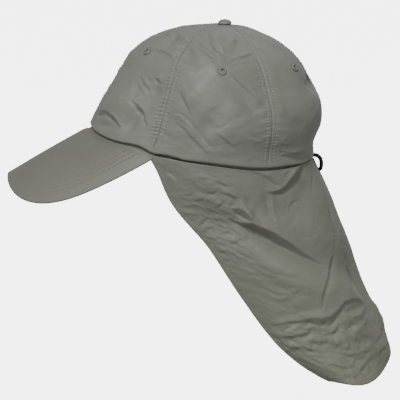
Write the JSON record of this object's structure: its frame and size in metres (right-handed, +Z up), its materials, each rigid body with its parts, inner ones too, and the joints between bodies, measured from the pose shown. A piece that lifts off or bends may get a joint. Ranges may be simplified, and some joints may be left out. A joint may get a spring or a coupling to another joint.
{
  "type": "legionnaire cap",
  "caption": "Soft panelled sun cap with a curved brim, vent eyelets, a covered top button, a long neck flap and an elastic loop at the back.",
  "frame": {"origin": "middle of the head opening, level with the back of the rim, where a head holds the cap", "axes": "+Z up towards the button, -Y the way the wearer faces and the brim points, +X the wearer's left"},
  "size_m": [0.1724, 0.3486, 0.3243],
  "materials": {
    "crown_cloth": "satin grey-green nylon taffeta",
    "brim_cloth": "satin grey-green nylon taffeta over a stiff board",
    "flap_cloth": "satin grey-green nylon taffeta, creased",
    "button_cloth": "satin grey-green nylon taffeta",
    "eyelet_paint": "grey-green enamel",
    "elastic": "black braided elastic"
  },
  "bodies": {
    "root": {"front_panel_left": "crown_cloth", "side_panel_left": "crown_cloth", "back_panel_left": "crown_cloth", "front_panel_right": "crown_cloth", "side_panel_right": "crown_cloth", "back_panel_right": "crown_cloth", "eyelet_front_left": "eyelet_paint", "eyelet_side_left": "eyelet_paint", "eyelet_back_left": "eyelet_paint", "eyelet_front_right": "eyelet_paint", "eyelet_side_right": "eyelet_paint", "eyelet_back_right": "eyelet_paint", "top_button": "button_cloth", "brim": "brim_cloth", "neck_flap": "flap_cloth", "elastic_loop": "elastic"}
  },
  "joints": []
}
